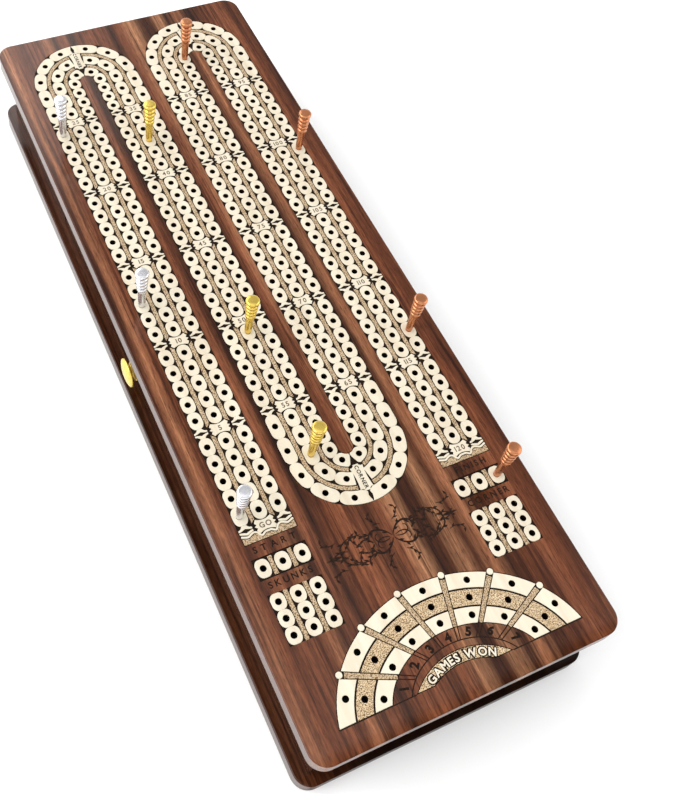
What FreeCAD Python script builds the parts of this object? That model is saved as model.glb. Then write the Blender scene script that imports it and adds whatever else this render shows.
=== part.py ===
import FreeCAD, Part
import math
import os

# Cribbage board: an inlaid top board over a shallow box with a drawer for the pegs.
# Frame: origin at the centre of the bottom board's underside, +Z up,
# +Y along the length towards the end away from the start, -X towards the drawer's knob.

# The two boards and the box between them
LENGTH = 355.6
WIDTH = 125.0
HEIGHT = 46.0
BOARD_THICKNESS = 8.0
CORNER_RADIUS = 7.0
EDGE_ROUND = 0.6
RECESS = 5.0
WALL_THICKNESS = 8.0

# Peg holes and the track
PITCH = 7.62
LANE_SPACING = 7.83
COLUMN_SPACING = 28.07
GROUP_STEP = 12.03
GROUP_SIZE = 5
ROWS = 25
FIRST_ROW_Y = -86.9
TOP_TURN_Y = 143.8
BOTTOM_TURN_Y = -75.3
TURN_HOLES = 5
# for the inner, middle and outer lane of a turn: gap before its holes, gap after them
TURN_GAPS = ((1.82, 0.74), (1.36, 1.52), (1.73, 0.82))
HOLE_RADIUS = 1.25
HOLE_DEPTH = 7.0

# Inlays: let into pockets, with their faces just under the top face
INLAY_THICKNESS = 1.7
INLAY_DROP = 0.3
BAND_HALF_WIDTH = 10.85
TRACK_FOOT_Y = -98.3
START_Y = -108.2
START_LENGTH = 8.4
CORNER_Y = -127.7
CORNER_LENGTH = 19.3
CORNER_PITCH = 6.42

# Games-won fan: half rings about an ellipse's centre, cut off flat at the bottom
FAN_CENTRE_Y = -175.9
FAN_FLOOR_Y = -168.7
FAN_INNER = (30.5, 22.3)
FAN_RING_STEP = (6.63, 6.4)
FAN_RINGS = 3
FAN_HOLE_ANGLES = (-66.0, -43.0, -21.5, 0.0, 21.5, 43.0, 66.0)
FAN_STUD_ANGLES = (-55.5, -32.3, -10.5, 10.5, 32.3, 55.5)
FAN_STUD_RADIUS = 1.45
BANNER_HALF_CHORDS = (19.8, 12.3)
BANNER_RISES = (8.0, 3.1)

# Drawer
DRAWER_OPENING = 190.0
DRAWER_CLEARANCE = 0.4
DRAWER_DEPTH = 106.0
DRAWER_FRONT_THICKNESS = 6.0
DRAWER_SIDE_THICKNESS = 4.0
DRAWER_SIDE_HEIGHT = 24.0
DRAWER_FLOOR_THICKNESS = 3.0
DIVIDER_THICKNESS = 3.0
DIVIDER_DROP = 3.0
DRAWER_EDGE_ROUND = 0.8
CARD_WELL = 66.0
GUIDE_THICKNESS = 6.0

# Knob and its screw
KNOB_DISC_RADIUS = 6.5
KNOB_DISC_THICKNESS = 2.1
KNOB_DOME = 1.5
KNOB_NECK_RADIUS = 2.4
KNOB_BASE_RADIUS = 4.0
KNOB_BASE_THICKNESS = 1.2
KNOB_REACH = 5.6
KNOB_HEIGHT = 19.5
SCREW_RADIUS = 1.5
SCREW_BITE = 3.5
SCREW_HEAD_RADIUS = 3.0
SCREW_HEAD_THICKNESS = 1.8
SCREW_SLOT = (0.8, 0.7)

# Pegs, measured from the top face
PEG_HEIGHT = 23.0
PEG_DEPTH = 6.5
PEG_FIT = 0.03
PEG_SHANK_RADIUS = 1.7
PEG_RING_RADII = (2.2, 2.35, 2.5, 2.6)
PEG_RINGS_START = 12.2
PEG_RING_PITCH = 2.3
PEG_HEAD_RADIUS = 2.85
PEG_HEAD_THICKNESS = 2.0
PEG_HEAD_ROUND = 0.6

TOP_UNDERSIDE = HEIGHT - BOARD_THICKNESS
LANES = (-1, 0, 1)
UP = FreeCAD.Vector(0, 0, 1)


def vec(x, y, z=0.0):
    return FreeCAD.Vector(x, y, z)


def box(x_range, y_range, z_range):
    """A rectangular block between the given limits."""
    (x0, x1), (y0, y1), (z0, z1) = x_range, y_range, z_range
    return Part.makeBox(x1 - x0, y1 - y0, z1 - z0, vec(x0, y0, z0))


def prism(wire, z0, z1):
    """The solid that a closed flat wire, drawn at z = 0, sweeps from z0 to z1."""
    solid = Part.Face(wire).extrude(UP * (z1 - z0))
    solid.translate(UP * z0)
    return solid


def round_ring(radius, thickness, z_middle):
    """A turned ring with a half-round rim."""
    half = thickness / 2.0
    side = radius - half
    rim = Part.Arc(vec(side, 0, z_middle - half), vec(radius, 0, z_middle), vec(side, 0, z_middle + half))
    foot = Part.makeLine(vec(0, 0, z_middle - half), vec(side, 0, z_middle - half))
    head = Part.makeLine(vec(side, 0, z_middle + half), vec(0, 0, z_middle + half))
    core = Part.makeLine(vec(0, 0, z_middle + half), vec(0, 0, z_middle - half))
    outline = Part.Wire([foot, rim.toShape(), head, core])
    return Part.Face(outline).revolve(vec(0, 0), UP, 360)


# ---------------------------------------------------------------- hole places

def column_x(column):
    return (column - 1.5) * COLUMN_SPACING


def row_y(row):
    """Height along the board of a straight lane's row, with a wider step after each five."""
    return FIRST_ROW_Y + row * PITCH + (row // GROUP_SIZE) * (GROUP_STEP - PITCH)


def plaque_y(group):
    """Middle of the wider step that comes before a group of five rows."""
    return row_y(group * GROUP_SIZE) - GROUP_STEP / 2.0


def lane_hole(column, lane, row):
    return vec(column_x(column) + lane * LANE_SPACING, row_y(row))


def turn_hole(x_centre, y_centre, y_start, ring, side, index):
    """A hole of a U-turn lane: the lane runs straight from y_start, then round a quarter circle."""
    radius = COLUMN_SPACING / 2.0 + (ring - 1) * LANE_SPACING
    straight = abs(y_centre - y_start)
    before, after = TURN_GAPS[ring]
    step = (straight + math.pi / 2.0 * radius - before - after) / TURN_HOLES
    along = before + (index + 0.5) * step
    heading = math.copysign(1.0, y_centre - y_start)
    if along < straight:
        return vec(x_centre + side * radius, y_start + heading * along)
    angle = (along - straight) / radius
    return vec(x_centre + side * radius * math.cos(angle), y_centre + heading * radius * math.sin(angle))


TURNS = {
    "top_left": (column_x(0.5), TOP_TURN_Y, plaque_y(5)),
    "bottom": (column_x(1.5), BOTTOM_TURN_Y, plaque_y(1)),
    "top_right": (column_x(2.5), TOP_TURN_Y, plaque_y(5)),
}


def track_holes():
    places = []
    for column in range(4):
        first = 0 if column in (0, 3) else GROUP_SIZE
        for lane in LANES:
            places += [lane_hole(column, lane, row) for row in range(first, ROWS)]
    for turn in TURNS.values():
        for ring in range(3):
            for side in (-1, 1):
                places += [turn_hole(*turn, ring, side, index) for index in range(TURN_HOLES)]
    return places


def block_holes(column, y_middle, rows):
    """Rows of three holes across a block at the foot of an outer column."""
    first = y_middle - CORNER_PITCH * (rows - 1) / 2.0
    return [vec(column_x(column) + lane * LANE_SPACING, first + row * CORNER_PITCH)
            for lane in LANES for row in range(rows)]


def fan_point(ring, degrees):
    """A point on the fan's ring line; ring 0 is the inner edge and 3 is the outer edge."""
    angle = math.radians(degrees)
    across = (FAN_INNER[0] + ring * FAN_RING_STEP[0]) * math.sin(angle)
    along = (FAN_INNER[1] + ring * FAN_RING_STEP[1]) * math.cos(angle)
    return vec(across, FAN_CENTRE_Y + along)


def fan_holes():
    return [fan_point(ring + 0.5, angle) for ring in range(FAN_RINGS) for angle in FAN_HOLE_ANGLES]


# ---------------------------------------------------------------- boards and inlays

def drills(places, z0, z1):
    """One compound of upright cylinders, to cut the peg holes with."""
    return Part.makeCompound([Part.makeCylinder(HOLE_RADIUS, z1 - z0, place + UP * z0) for place in places])


def board(z0, z1):
    """A flat board with rounded corners and slightly eased edges."""
    slab = box((-WIDTH / 2, WIDTH / 2), (-LENGTH / 2, LENGTH / 2), (z0, z1))
    upright = [edge for edge in slab.Edges if abs(edge.tangentAt(edge.FirstParameter).z) > 0.9]
    slab = slab.makeFillet(CORNER_RADIUS, upright)
    flat = [edge for edge in slab.Edges if edge.BoundBox.ZLength < 0.01]
    return slab.makeFillet(EDGE_ROUND, flat)


def band(x_centre, y0, y1, z0, z1):
    return box((x_centre - BAND_HALF_WIDTH, x_centre + BAND_HALF_WIDTH), (y0, y1), (z0, z1))


def half_ring(x_centre, y_centre, upward, z0, z1):
    """Half of the flat ring that a U-turn follows."""
    middle = COLUMN_SPACING / 2.0
    outer = Part.makeCylinder(middle + BAND_HALF_WIDTH, z1 - z0, vec(x_centre, y_centre, z0))
    inner = Part.makeCylinder(middle - BAND_HALF_WIDTH, z1 - z0, vec(x_centre, y_centre, z0))
    reach = COLUMN_SPACING * 2.0
    limits = (y_centre, y_centre + reach) if upward else (y_centre - reach, y_centre)
    return outer.cut(inner).common(box((x_centre - reach, x_centre + reach), limits, (z0, z1)))


def track_shape(z0, z1):
    """The whole winding band of the track, before its holes."""
    shape = band(column_x(0), TRACK_FOOT_Y, TOP_TURN_Y, z0, z1)
    for column, foot in ((1, BOTTOM_TURN_Y), (2, BOTTOM_TURN_Y), (3, TRACK_FOOT_Y)):
        shape = shape.fuse(band(column_x(column), foot, TOP_TURN_Y, z0, z1))
    for x_centre, y_centre, y_start in TURNS.values():
        shape = shape.fuse(half_ring(x_centre, y_centre, y_centre > y_start, z0, z1))
    return shape.removeSplitter()


def block_shape(column, y_middle, length, z0, z1):
    return band(column_x(column), y_middle - length / 2.0, y_middle + length / 2.0, z0, z1)


def ellipse_disc(ring, z0, z1):
    across = FAN_INNER[0] + ring * FAN_RING_STEP[0]
    along = FAN_INNER[1] + ring * FAN_RING_STEP[1]
    edge = Part.Ellipse(vec(0, FAN_CENTRE_Y), across, along).toShape()
    return prism(Part.Wire([edge]), z0, z1)


def fan_shape(z0, z1):
    """Half rings for the games won, with a round stud on the rim at each divider."""
    rings = ellipse_disc(FAN_RINGS, z0, z1).cut(ellipse_disc(0, z0, z1))
    rings = rings.common(box((-WIDTH / 2, WIDTH / 2), (FAN_FLOOR_Y, FAN_FLOOR_Y + WIDTH), (z0, z1)))
    for angle in FAN_STUD_ANGLES:
        foot = fan_point(FAN_RINGS, angle) + UP * z0
        rings = rings.fuse(Part.makeCylinder(FAN_STUD_RADIUS, z1 - z0, foot))
    return rings.removeSplitter()


def banner_shape(z0, z1):
    """A flat-footed arch under the fan."""
    arcs = []
    for half, rise in zip(BANNER_HALF_CHORDS, BANNER_RISES):
        ends = [vec(side * half, FAN_FLOOR_Y) for side in (-1, 1)]
        arcs.append(Part.Arc(ends[0], vec(0, FAN_FLOOR_Y + rise), ends[1]).toShape())
    feet = [Part.makeLine(vec(side * BANNER_HALF_CHORDS[0], FAN_FLOOR_Y),
                          vec(side * BANNER_HALF_CHORDS[1], FAN_FLOOR_Y)) for side in (-1, 1)]
    return prism(Part.Wire(Part.__sortEdges__(arcs + feet)), z0, z1)


def inlays():
    """Each inlay's outline as a function of its z limits, with its holes."""
    right = 3
    return {
        "track_inlay": (track_shape, track_holes()),
        "start_inlay": (lambda z0, z1: block_shape(0, START_Y, START_LENGTH, z0, z1),
                        block_holes(0, START_Y, 1)),
        "skunks_inlay": (lambda z0, z1: block_shape(0, CORNER_Y, CORNER_LENGTH, z0, z1),
                         block_holes(0, CORNER_Y, 3)),
        "finish_inlay": (lambda z0, z1: block_shape(right, START_Y, START_LENGTH, z0, z1),
                         block_holes(right, START_Y, 1)),
        "corner_inlay": (lambda z0, z1: block_shape(right, CORNER_Y, CORNER_LENGTH, z0, z1),
                         block_holes(right, CORNER_Y, 3)),
        "games_won_inlay": (fan_shape, fan_holes()),
        "banner_inlay": (banner_shape, []),
    }


def make_top():
    """The top board with its pockets and blind holes, and the inlays that fill the pockets."""
    top = board(TOP_UNDERSIDE, HEIGHT)
    inlay_top = HEIGHT - INLAY_DROP
    inlay_bottom = inlay_top - INLAY_THICKNESS
    parts = {}
    holes = []
    for name, (shape, places) in inlays().items():
        top = top.cut(shape(inlay_bottom, HEIGHT + 1.0))
        piece = shape(inlay_bottom, inlay_top)
        if places:
            piece = piece.cut(drills(places, inlay_bottom - 1.0, inlay_top + 1.0))
        parts[name] = piece
        holes += places
    parts["top_board"] = top.cut(drills(holes, HEIGHT - HOLE_DEPTH, HEIGHT + 1.0))
    return parts


# ---------------------------------------------------------------- box and drawer

WALL_X = WIDTH / 2 - RECESS
WALL_Y = LENGTH / 2 - RECESS
INSIDE_X = WALL_X - WALL_THICKNESS
INSIDE_Y = WALL_Y - WALL_THICKNESS
STOREY = (BOARD_THICKNESS, TOP_UNDERSIDE)
OPENING_Y = DRAWER_OPENING / 2.0


def make_box():
    """The bottom board and the walls that stand on it, set back from the boards' edges."""
    return {
        "bottom_board": board(0.0, BOARD_THICKNESS),
        "foot_wall": box((-WALL_X, WALL_X), (-WALL_Y, -INSIDE_Y), STOREY),
        "head_wall": box((-WALL_X, WALL_X), (INSIDE_Y, WALL_Y), STOREY),
        "right_wall": box((INSIDE_X, WALL_X), (-INSIDE_Y, INSIDE_Y), STOREY),
        "left_wall_foot": box((-WALL_X, -INSIDE_X), (-INSIDE_Y, -OPENING_Y), STOREY),
        "left_wall_head": box((-WALL_X, -INSIDE_X), (OPENING_Y, INSIDE_Y), STOREY),
        "drawer_guide_foot": box((-INSIDE_X, INSIDE_X), (-OPENING_Y - GUIDE_THICKNESS, -OPENING_Y), STOREY),
        "drawer_guide_head": box((-INSIDE_X, INSIDE_X), (OPENING_Y, OPENING_Y + GUIDE_THICKNESS), STOREY),
    }


def knob_body():
    """The turned knob with its foot at z = 0: a foot with a hollow waist, then a domed disc."""
    disc_foot = KNOB_REACH - KNOB_DISC_THICKNESS
    half_waist = (disc_foot - KNOB_BASE_THICKNESS) / 2.0
    sagitta = KNOB_BASE_RADIUS - KNOB_NECK_RADIUS
    hollow = (half_waist ** 2 + sagitta ** 2) / (2.0 * sagitta)
    groove = Part.makeTorus(KNOB_NECK_RADIUS + hollow, hollow, vec(0, 0, KNOB_BASE_THICKNESS + half_waist))
    foot = Part.makeCylinder(KNOB_BASE_RADIUS, disc_foot + KNOB_DISC_THICKNESS / 2.0).cut(groove)
    disc = Part.makeCylinder(KNOB_DISC_RADIUS, KNOB_DISC_THICKNESS, vec(0, 0, disc_foot))
    dome = (KNOB_DISC_RADIUS ** 2 + KNOB_DOME ** 2) / (2.0 * KNOB_DOME)
    disc = disc.common(Part.makeSphere(dome, vec(0, 0, KNOB_REACH - dome)))
    return foot.fuse(disc).removeSplitter()


def outward(solid, x, z):
    """Turns a solid built along +Z so that it points along -X, and puts its foot at x, z."""
    solid.rotate(vec(0, 0), FreeCAD.Vector(0, 1, 0), -90)
    solid.translate(vec(x, 0, z))
    return solid


def make_knob(front_x, back_x, z):
    """The turned knob and the screw that holds it from inside the drawer."""
    grip = front_x - back_x
    knob = knob_body().cut(Part.makeCylinder(SCREW_RADIUS, SCREW_BITE, vec(0, 0)))
    screw = Part.makeCylinder(SCREW_RADIUS, SCREW_BITE - grip, vec(0, 0, grip))
    head = Part.makeCylinder(SCREW_HEAD_RADIUS, SCREW_HEAD_THICKNESS, vec(0, 0, grip - SCREW_HEAD_THICKNESS))
    width, depth = SCREW_SLOT
    slot = box((-SCREW_HEAD_RADIUS, SCREW_HEAD_RADIUS), (-width / 2, width / 2),
               (grip - SCREW_HEAD_THICKNESS, grip - SCREW_HEAD_THICKNESS + depth))
    screw = screw.fuse(head).cut(slot).removeSplitter()
    return {"drawer_knob": outward(knob, front_x, z), "knob_screw": outward(screw, front_x, z)}


def eased(solid, chosen):
    """The solid with its chosen edges rounded off a little; chosen takes an edge's bounding box."""
    return solid.makeFillet(DRAWER_EDGE_ROUND, [edge for edge in solid.Edges if chosen(edge.BoundBox)])


def make_drawer():
    """The drawer that slides out towards -X, with one peg well and two card wells."""
    gap = DRAWER_CLEARANCE
    front_x = -WALL_X
    panel_x = front_x + DRAWER_FRONT_THICKNESS
    back_x = front_x + DRAWER_DEPTH
    half = OPENING_Y - gap
    inner = half - DRAWER_SIDE_THICKNESS
    foot_z = BOARD_THICKNESS + gap
    floor_z = foot_z + DRAWER_FLOOR_THICKNESS
    side_z = foot_z + DRAWER_SIDE_HEIGHT
    wells = (panel_x, back_x - DRAWER_SIDE_THICKNESS)
    parts = {
        "drawer_front": box((front_x, panel_x), (-half, half), (foot_z, TOP_UNDERSIDE - gap)),
        "drawer_side_foot": box((panel_x, back_x), (-half, -inner), (foot_z, side_z)),
        "drawer_side_head": box((panel_x, back_x), (inner, half), (foot_z, side_z)),
        "drawer_back": box((wells[1], back_x), (-inner, inner), (foot_z, side_z)),
        "drawer_floor": box(wells, (-inner, inner), (foot_z, floor_z)),
    }
    parts["drawer_front"] = eased(parts["drawer_front"], lambda edge: edge.XMax < front_x + 0.01)
    for name in ("drawer_side_foot", "drawer_side_head"):
        parts[name] = eased(parts[name], lambda edge: edge.ZMin > side_z - 0.01 and edge.XLength > 1.0)
    back = parts["drawer_back"]
    parts["drawer_back"] = eased(back, lambda edge: edge.ZMin > side_z - 0.01 and edge.YLength > 1.0)
    y = inner
    divider_z = side_z - DIVIDER_DROP
    for name in ("card_divider_head", "card_divider_foot"):
        y -= CARD_WELL
        divider = box(wells, (y - DIVIDER_THICKNESS, y), (floor_z, divider_z))
        parts[name] = eased(divider, lambda edge: edge.ZMin > divider_z - 0.01 and edge.XLength > 1.0)
        y -= DIVIDER_THICKNESS
    fittings = make_knob(front_x, panel_x, KNOB_HEIGHT)
    bore = Part.makeCylinder(SCREW_RADIUS, DRAWER_FRONT_THICKNESS, vec(0, 0, front_x - panel_x))
    parts["drawer_front"] = parts["drawer_front"].cut(outward(bore, front_x, KNOB_HEIGHT))
    parts.update(fittings)
    return parts


# ---------------------------------------------------------------- pegs

def make_peg(place):
    """A turned metal peg standing in a hole: tapered foot, smooth shank, four rings and a head."""
    fit_radius = HOLE_RADIUS - PEG_FIT
    tip_radius = fit_radius * 0.7
    shoulder = 0.2
    flare = 1.6
    foot = Part.makeCone(tip_radius, fit_radius, 1.0, vec(0, 0, -PEG_DEPTH))
    plug = Part.makeCylinder(fit_radius, PEG_DEPTH - 1.0 + shoulder, vec(0, 0, 1.0 - PEG_DEPTH))
    taper = Part.makeCone(fit_radius, PEG_SHANK_RADIUS, flare, vec(0, 0, shoulder))
    shank_foot = shoulder + flare
    shank = Part.makeCylinder(PEG_SHANK_RADIUS, PEG_HEIGHT - shank_foot - 1.0, vec(0, 0, shank_foot))
    peg = foot.fuse([plug, taper, shank])
    for index, radius in enumerate(PEG_RING_RADII):
        peg = peg.fuse(round_ring(radius, PEG_RING_PITCH * 0.86, PEG_RINGS_START + index * PEG_RING_PITCH))
    head = Part.makeCylinder(PEG_HEAD_RADIUS, PEG_HEAD_THICKNESS, vec(0, 0, PEG_HEIGHT - PEG_HEAD_THICKNESS))
    peg = peg.fuse(head.makeFillet(PEG_HEAD_ROUND, head.Edges[:1] + head.Edges[2:])).removeSplitter()
    peg.translate(place + UP * HEIGHT)
    return peg


def make_pegs():
    """Ten pegs in three metals, standing where a game has left them."""
    places = {
        "peg_silver": [lane_hole(0, -1, 24), lane_hole(0, -1, 12), lane_hole(0, -1, 0)],
        "peg_gold": [lane_hole(1, 0, 22), lane_hole(1, 0, 9), turn_hole(*TURNS["bottom"], 1, -1, 2)],
        "peg_copper": [turn_hole(*TURNS["top_right"], 0, -1, 3), lane_hole(3, 1, 19), lane_hole(3, 1, 6),
                       block_holes(3, START_Y, 1)[2]],
    }
    return {"%s_%d" % (metal, number): make_peg(place)
            for metal, holes in places.items() for number, place in enumerate(holes, 1)}


def main():
    os.makedirs("parts", exist_ok=True)
    parts = {}
    for made in (make_top(), make_box(), make_drawer(), make_pegs()):
        parts.update(made)
    for name, shape in parts.items():
        if not shape.isValid() or len(shape.Solids) != 1:
            print("check", name, shape.isValid(), len(shape.Solids))
        shape.exportStep("parts/%s.step" % name)
    print(len(parts), "nodes")


main()
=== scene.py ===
"""Cribbage board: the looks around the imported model. Lengths are in millimetres until they reach a mesh."""
import math

import bmesh
import bpy
from mathutils import Matrix, Vector


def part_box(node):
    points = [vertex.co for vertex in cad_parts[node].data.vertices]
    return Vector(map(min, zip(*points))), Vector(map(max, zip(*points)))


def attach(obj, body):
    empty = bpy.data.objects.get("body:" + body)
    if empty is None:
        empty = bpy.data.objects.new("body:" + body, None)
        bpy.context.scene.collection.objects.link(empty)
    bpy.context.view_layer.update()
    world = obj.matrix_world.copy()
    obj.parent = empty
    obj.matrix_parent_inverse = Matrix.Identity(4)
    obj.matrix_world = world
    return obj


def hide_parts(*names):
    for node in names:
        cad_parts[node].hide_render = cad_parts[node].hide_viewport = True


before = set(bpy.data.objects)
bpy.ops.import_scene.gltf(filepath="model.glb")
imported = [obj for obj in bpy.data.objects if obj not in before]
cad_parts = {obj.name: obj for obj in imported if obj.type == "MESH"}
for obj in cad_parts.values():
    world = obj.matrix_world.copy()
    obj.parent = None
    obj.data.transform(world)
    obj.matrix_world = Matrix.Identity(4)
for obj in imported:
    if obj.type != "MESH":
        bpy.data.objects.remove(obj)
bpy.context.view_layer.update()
MM = 0.001

# -------- camera and studio, lamps and floor in metres

CAMERA_PLACE = (-135.8, -209.0, 396.0)
CAMERA_AIM = (-11.5, -18.3, 46.0)
CAMERA_ROLL = -10.45
CAMERA_LENS = 46.2
CAMERA_SENSOR = 36.0
CAMERA_SHIFT = (0.103, -0.074)
CAMERA_CLIP = (0.01, 20.0)
FLOOR_HALF = 1.3
FLOOR_DROP = 0.0002
FLOOR_WHITE = (0.95, 0.95, 0.95, 1)
# the sky's brightness at each height, from the horizon up to the soft light overhead
SKY = ((0.0, 1.0), (0.35, 0.9), (0.6, 0.6), (0.9, 0.4), (0.97, 1.3))
# each lamp's place, size and power
LAMPS = {
    "lamp_left": ((-1.4, 0.3, 1.2), (1.6, 1.6), 30.0),
    "lamp_right": ((1.4, -0.6, 1.2), (1.6, 1.6), 12.5),
    "lamp_front": ((-0.4, -1.6, 1.1), (1.6, 1.2), 6.0),
    "lamp_back": ((-0.4, 1.6, 1.1), (1.6, 1.2), 15.0),
}

# -------- heights on the board's face

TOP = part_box("top_board")[1].z / MM
INLAY_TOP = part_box("track_inlay")[1].z / MM
TILE_TOP = TOP + 0.02
STRIP_TOP = TOP - 0.05
LINE_TOP = TOP + 0.015
LINE_FOOT = TOP - 0.1

# -------- the track and the blocks

PITCH = 7.62
LANE = 7.83
COLUMN = 28.07
GROUP_STEP = 12.03
GROUP_SIZE = 5
ROWS = 25
GROUPS = ROWS // GROUP_SIZE
FIRST_ROW_Y = -86.9
TOP_TURN_Y = 143.8
BOTTOM_TURN_Y = -75.3
TURN_HOLES = 5
TURN_GAPS = ((1.82, 0.74), (1.36, 1.52), (1.73, 0.82))
TURN_STRIP_GAP = 3.25
HOLE_RADIUS = 1.25
HOLE_EASE = 0.12
TRACK_FOOT_Y = -98.3
START_Y = -108.2
START_REACH = 3.55
BLOCK_EASE = 0.1
CORNER_Y = -127.7
CORNER_PITCH = 6.42
LANES = (-1, 0, 1)
SIDES = (-1, 1)
COLUMNS = range(4)
OUTER_COLUMNS = (0, 3)

BEAD_HALF_WIDTH = 2.78
BEAD_NECK = 0.65
BEAD_DEPTH = 2.9
BEAD_DEPTH_SHARE = 0.78
BEAD_STEPS = 7
STRIP_HALF_WIDTH = 0.82
STRIP_OFFSET = LANE / 2.0
# how far a strip stops short of a plaque row, at its side by the middle lane and at its outer side
STRIP_SLANT = (3.15, 1.85)
PLAQUE_GAP = 2.2
PLAQUE_INSET = 0.12
# a quarter of a black star's edge, from its right point to its upper one
STAR_EDGE = ((2.72, 0.16), (2.0, 0.22), (1.2, 0.42), (0.5, 0.66), (0.0, 0.88))
WAVE_WIDTH = 0.75
LINE = 0.33
DRAWN = 0.42
EDGE_EASE = 0.1
FIELD_EASE = 0.03
LEAF_EASE = 0.005
SEGMENTS = 32
# the longest side of an outline that bends or goes round a hole
BEND_STEP = 1.2
HOLED_STEP = 0.9
# a sharp corner moves inwards by at most the inset over this share
SHARPEST = 0.35
TINY = 1e-6

APEX_WAIST = 2.5
APEX_HALF_LENGTH = 5.9
APEX_RISE = 0.2
APEX_INSET = 0.22
# how the last bead of each lane meets its twin: gap left to the middle line, share of the half width
APEX_ENDS = (
    ((1.9, 0.97), (1.3, 0.75), (1.0, 0.25), (0.2, -0.75), (0.55, -0.97)),
    ((APEX_WAIST + LINE, 0.97), (APEX_WAIST + LINE, -0.97)),
    ((0.08, 1.0), (0.85, 0.05), (0.5, -0.55), (1.3, -0.78), (2.6, -0.97)),
)

# -------- the games-won fan

FAN_CENTRE_Y = -175.9
FAN_FLOOR_Y = -168.7
FAN_RINGS = 3
FAN_INNER = (30.5, 22.3)
FAN_RING_STEP = (6.63, 6.4)
FAN_HOLE_ANGLES = (-66.0, -43.0, -21.5, 0.0, 21.5, 43.0, 66.0)
FAN_STUD_ANGLES = (-55.5, -32.3, -10.5, 10.5, 32.3, 55.5)
FAN_STUD_RADIUS = 1.45
FAN_STUD_INSET = 0.12
FAN_STUD_EASE = 0.25
FAN_STUD_SIDES = 24
FAN_SPOKE_FOCUS_Y = -171.5
SPOKE_HALF_WIDTHS = (0.3, 1.05)
SPOKE_SEARCH = 20.0
HALVINGS = 30
BANNER_HALF_CHORDS = (19.8, 12.3)
BANNER_RISES = (8.0, 3.1)
NUMBER_ARCH = (23.6, 17.8)
ARCH_PARTS = 40

# -------- numbers, words and the scroll

# the numbers on each column's plaques: the number at the foot, and the step from one plaque up to the next
COLUMN_NUMBERS = ((0, 5), (60, -5), (60, 5), (120, -5))
WORDS = {0: ("START", "SKUNKS"), 3: ("FINISH", "CORNER")}
WORD_Y = (-100.85, -114.8)
# the gap between the letters of a word, for its number of letters
WORD_GAPS = {5: 0.46, 6: 0.28}
CAP_HEIGHT = 0.7
SPACE_WIDTH = 0.3
PLAQUE_SIZE = 2.1
WORD_SIZE = 2.5
TICKET_SIZE = 1.55
FAN_NUMBER_SIZE = 3.1
TILE_INK = 0.03
WOOD_INK = 0.02
BANNER_TEXT = "GAMES WON"
BANNER_SIZE = 2.85
BANNER_INK = 0.07
BANNER_LIFT = 0.08
BANNER_FACE = 0.10
BANNER_RIM = 0.13
BANNER_GAP = 0.19
BANNER_WEIGHT = 0.028
SCROLL_Y = -115.1
# each stroke of the scroll: start, heading, length, bend, hand, width, and the length of its leaves
SCROLL_STROKES = (
    ((0.2, 0.5), 1.05, 14.0, 4.8, -1, 0.75, 2.2),
    ((1.2, 0.2), 0.45, 9.0, 4.8, -1, 0.5, 0.0),
    ((5.5, 4.6), -0.45, 10.0, 3.4, 1, 0.5, 2.2),
    ((8.0, 0.4), 0.95, 7.5, 4.0, -1, 0.45, 1.8),
    ((11.5, 5.2), 0.15, 9.5, 3.0, -1, 0.5, 2.1),
    ((12.5, 0.4), 0.5, 8.5, 3.8, 1, 0.45, 1.8),
    ((15.5, 5.4), -0.1, 12.0, 4.2, -1, 0.6, 2.1),
    ((18.5, 0.8), 0.35, 9.5, 3.4, -1, 0.45, 1.8),
    ((21.5, 5.6), -0.35, 8.5, 4.0, 1, 0.45, 1.8),
    ((2.5, 6.0), 0.4, 8.0, 3.6, 1, 0.45, 1.8),
)
SCROLL_DIAMOND = ((20.5, 0.0), (24.0, 0.75), (28.0, 0.0), (24.0, -0.75))
STROKE_END = 0.2
STROKE_LIFT = 0.001
STROKE_LIFTS = 24
SPRAY_START = 4
SPRAY_STEP = 6
SPRAY_TURN = 0.6
SPRAY_SHRINK = 0.08
LEAF_WIDTH = 0.42

# -------- pegs and knob

PEG_HEIGHT = 23.0
PEG_DEPTH = 6.5
PEG_RINGS = (2.2, 2.35, 2.5, 2.6)
PEG_RING_HALF = 1.1
PEG_FIRST_RING = 12.2
PEG_RING_STEP = 2.3
RING_SWELL = 0.8
KNOB_FOOT_X = -57.5
KNOB_HEIGHT = 19.5
KNOB_RADIUS = 6.5
KNOB_REACH = 5.6
KNOB_RISE = 1.5
SHARP_ANGLE = 50.0

# -------- woods

ROSEWOOD_TONES = {
    "dark": (0.028, 0.008, 0.003), "deep": (0.078, 0.022, 0.008), "middle": (0.126, 0.037, 0.014),
    "warm": (0.170, 0.055, 0.024), "tan": (0.248, 0.097, 0.045), "pale": (0.365, 0.172, 0.086),
}
# the colour of painted shade: in holes and joints, and at the bottom board's foot end
PAINTED_SHADE_TONE = (0.006, 0.003, 0.002)
# where the rosewood's broad streaks run across the board, in whole millimetres, set after the photo's
STREAKS = (
    (-62, "deep"), (-59, "tan"), (-55, "middle"), (-51, "deep"), (-46, "warm"), (-42, "deep"), (-38, "tan"),
    (-34, "dark"), (-30, "warm"), (-26, "dark"), (-20, "middle"), (-12, "warm"), (-5, "dark"), (0, "warm"),
    (6, "pale"), (11, "dark"), (16, "dark"), (20, "pale"), (25, "dark"), (30, "tan"), (36, "dark"),
    (44, "deep"), (50, "warm"), (55, "middle"), (60, "deep"),
)
STREAK_HALF_WIDTH = 62.0
# how far the streaks wander and ripple, in metres, and the gain and offset of the noise that fades them
STREAK_WANDER = 0.005
STREAK_RIPPLE = 0.0025
STREAK_FADE = (1.2, 0.3)
PLAIN = (1, 1, 1)
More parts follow.
